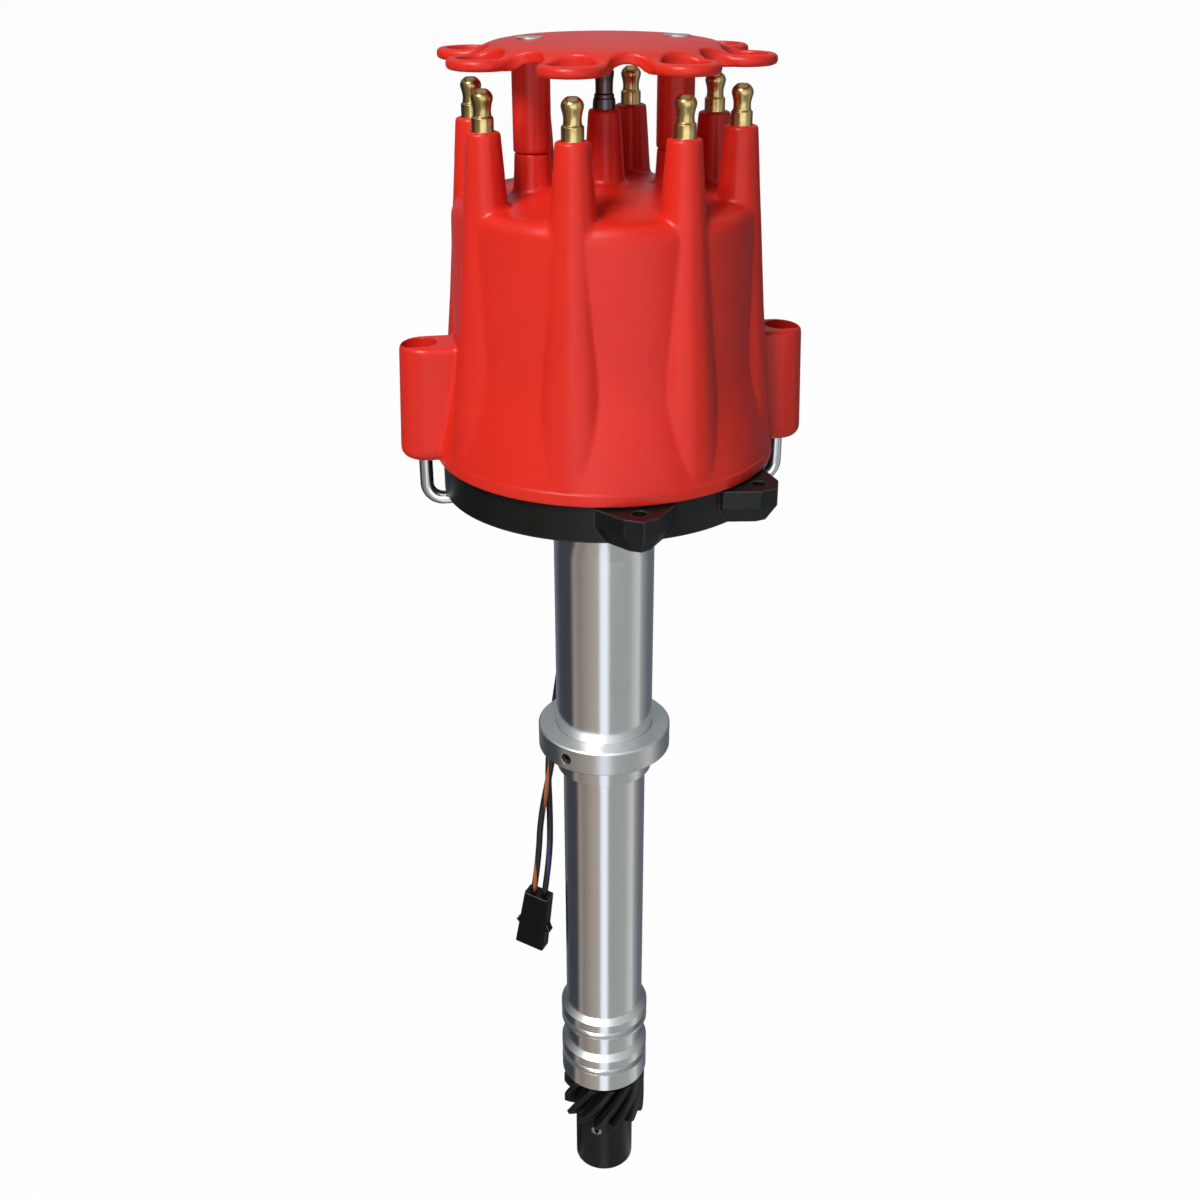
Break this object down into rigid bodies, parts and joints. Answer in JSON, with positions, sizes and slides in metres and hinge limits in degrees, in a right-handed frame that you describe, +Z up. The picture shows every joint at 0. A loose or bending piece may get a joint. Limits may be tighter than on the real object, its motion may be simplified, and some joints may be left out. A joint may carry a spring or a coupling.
{
  "type": "ignition distributor",
  "caption": "Ignition distributor: red moulded cap and wire retainer, spring latches, slip collar, bearing shaft with centrifugal advance, magnetic pickup lead, helical drive gear.",
  "frame": {"origin": "on the shaft's axis, in the plane of the slip collar's underside, where it sits on the engine", "axes": "+Z up along the shaft towards the cap; +X towards the right-hand latch; -Y towards the front"},
  "size_m": [0.1222, 0.1192, 0.4088],
  "materials": {
    "polished_aluminium": "turned and polished",
    "machined_aluminium": "machined, fine turning marks",
    "red_moulding": "satin gloss moulded phenolic",
    "black_moulding": "satin moulded",
    "black_oxide_steel": "black oxide",
    "ground_steel": "ground",
    "zinc_steel": "zinc plated",
    "bright_steel": "polished",
    "dark_steel": "dark nickel",
    "brass": "bright turned",
    "sintered_bronze": "sintered, oil filled",
    "carbon": "pressed carbon",
    "black_rubber": "matt",
    "wire_insulation": "smooth insulation with a coloured stripe"
  },
  "bodies": {
    "body": {"housing": "polished_aluminium", "upper_bearing_outer_race": "ground_steel", "upper_bearing_balls": "bright_steel", "upper_bearing_seals": "black_rubber", "bearing_snap_ring": "zinc_steel", "lower_bushing": "sintered_bronze", "base_ring": "black_moulding", "base_ring_screws": "zinc_steel", "cap": "red_moulding", "spark_terminal_1": "brass", "spark_terminal_2": "brass", "spark_terminal_3": "brass", "spark_terminal_4": "brass", "spark_terminal_5": "brass", "spark_terminal_6": "brass", "spark_terminal_7": "brass", "spark_terminal_8": "brass", "coil_terminal": "dark_steel", "carbon_button": "carbon", "button_spring": "bright_steel", "wire_retainer": "red_moulding", "wire_retainer_screws": "zinc_steel", "latch_spring_left": "bright_steel", "latch_spring_right": "bright_steel", "pickup_bracket": "zinc_steel", "magnetic_pickup": "black_moulding", "pickup_screws": "zinc_steel", "lead_grommet": "black_rubber", "connector": "black_moulding", "connector_terminals": "brass", "wire_orange_stripe": "wire_insulation", "wire_violet_stripe": "wire_insulation"},
    "shaft": {"shaft": "ground_steel", "upper_bearing_inner_race": "ground_steel", "thrust_washers": "ground_steel", "drive_gear": "black_oxide_steel", "gear_roll_pin": "ground_steel", "cam_plate": "ground_steel", "cam_clip": "zinc_steel"},
    "advance": {"advance_base": "ground_steel", "reluctor": "ground_steel", "stop_bushing": "sintered_bronze", "rotor": "red_moulding", "rotor_contact": "brass", "rotor_screws": "zinc_steel", "advance_spring_1": "bright_steel", "advance_spring_2": "bright_steel"},
    "weight_1": {"advance_weight_1": "ground_steel"},
    "weight_2": {"advance_weight_2": "ground_steel"},
    "collar": {"slip_collar": "machined_aluminium", "collar_set_screws": "black_oxide_steel"},
    "latch_left_washer": {"latch_washer_left": "zinc_steel"},
    "latch_left": {"latch_screw_left": "bright_steel"},
    "latch_right_washer": {"latch_washer_right": "zinc_steel"},
    "latch_right": {"latch_screw_right": "bright_steel"}
  },
  "joints": [
    {"name": "shaft_spin", "type": "hinge", "parent": "body", "child": "shaft", "pos_m": [0, 0, 0], "axis": [0, 0, 1], "continuous": true},
    {"name": "advance_turn", "type": "hinge", "parent": "shaft", "child": "advance", "pos_m": [0, 0, 0.105], "axis": [0, 0, 1], "range_deg": [-10.5, 0], "stiffness_Nm_per_rad": 0.6, "springref_deg": 1.15, "deforming": ["advance_spring_1", "advance_spring_2"]},
    {"name": "weight_1_swing", "type": "hinge", "parent": "advance", "child": "weight_1", "pos_m": [0.017, -0.014, 0.115], "axis": [0, 0, 1], "range_deg": [-18, 0]},
    {"name": "weight_2_swing", "type": "hinge", "parent": "advance", "child": "weight_2", "pos_m": [-0.017, 0.014, 0.115], "axis": [0, 0, 1], "range_deg": [-18, 0]},
    {"name": "collar_slide", "type": "slide", "parent": "body", "child": "collar", "axis": [0, 0, 1], "range_m": [-0.006, 0.055]},
    {"name": "latch_left_push", "type": "slide", "parent": "body", "child": "latch_left_washer", "axis": [0, 0, 1], "range_m": [-0.002, 0], "stiffness_N_per_m": 3000, "deforming": ["latch_spring_left"]},
    {"name": "latch_left_turn", "type": "hinge", "parent": "latch_left_washer", "child": "latch_left", "pos_m": [-0.0539, 0, 0.1], "axis": [0, 0, 1], "range_deg": [0, 180]},
    {"name": "latch_right_push", "type": "slide", "parent": "body", "child": "latch_right_washer", "axis": [0, 0, 1], "range_m": [-0.002, 0], "stiffness_N_per_m": 3000, "deforming": ["latch_spring_right"]},
    {"name": "latch_right_turn", "type": "hinge", "parent": "latch_right_washer", "child": "latch_right", "pos_m": [0.0539, 0, 0.1], "axis": [0, 0, 1], "range_deg": [0, 180]}
  ],
  "couplings": [
    {"joint": "weight_1_swing", "follows": "advance_turn", "ratio": 1.7143},
    {"joint": "weight_2_swing", "follows": "advance_turn", "ratio": 1.7143}
  ]
}
